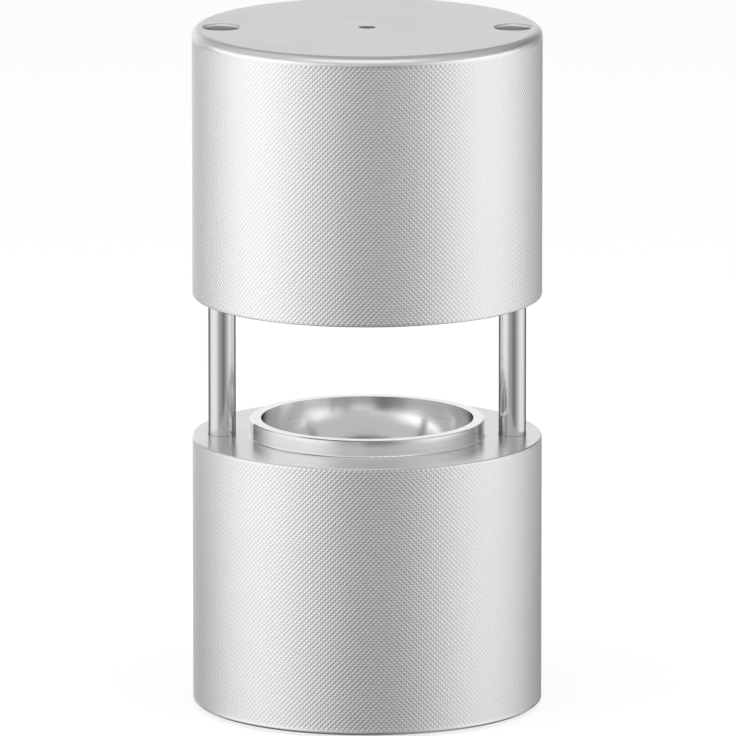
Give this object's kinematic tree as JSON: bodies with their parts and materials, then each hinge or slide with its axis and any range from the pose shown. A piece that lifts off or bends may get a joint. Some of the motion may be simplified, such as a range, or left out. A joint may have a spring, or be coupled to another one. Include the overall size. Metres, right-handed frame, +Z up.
{
  "type": "ice ball press",
  "caption": "Ball press with knurled aluminium blocks, each holding half of a ball mould; the upper block slides down polished steel guide rods onto a raised ring.",
  "frame": {"origin": "under the middle of the base, on the surface that the feet stand on", "axes": "+Z up, along the guide rods and the joint; the rods lie on the X axis; the front faces -Y"},
  "size_m": [0.115, 0.115, 0.226],
  "materials": {
    "aluminium": "fine turned and satin, diamond knurled round the side",
    "polished_steel": "ground and polished",
    "fastener_steel": "plain stainless",
    "bush_plastic": "machined",
    "rubber": "matte"
  },
  "bodies": {
    "base": {"base_block": "aluminium", "guide_rod_left": "polished_steel", "guide_rod_right": "polished_steel", "rod_screw_left": "fastener_steel", "rod_screw_right": "fastener_steel", "rod_washer_left": "fastener_steel", "rod_washer_right": "fastener_steel", "foot_front_left": "rubber", "foot_front_right": "rubber", "foot_back_left": "rubber", "foot_back_right": "rubber"},
    "top": {"top_block": "aluminium", "lower_bush_left": "bush_plastic", "lower_bush_right": "bush_plastic", "upper_bush_left": "bush_plastic", "upper_bush_right": "bush_plastic"}
  },
  "joints": [
    {"name": "press_slide", "type": "slide", "parent": "base", "child": "top", "axis": [0, 0, 1], "range_m": [-0.0469, 0.03]}
  ]
}
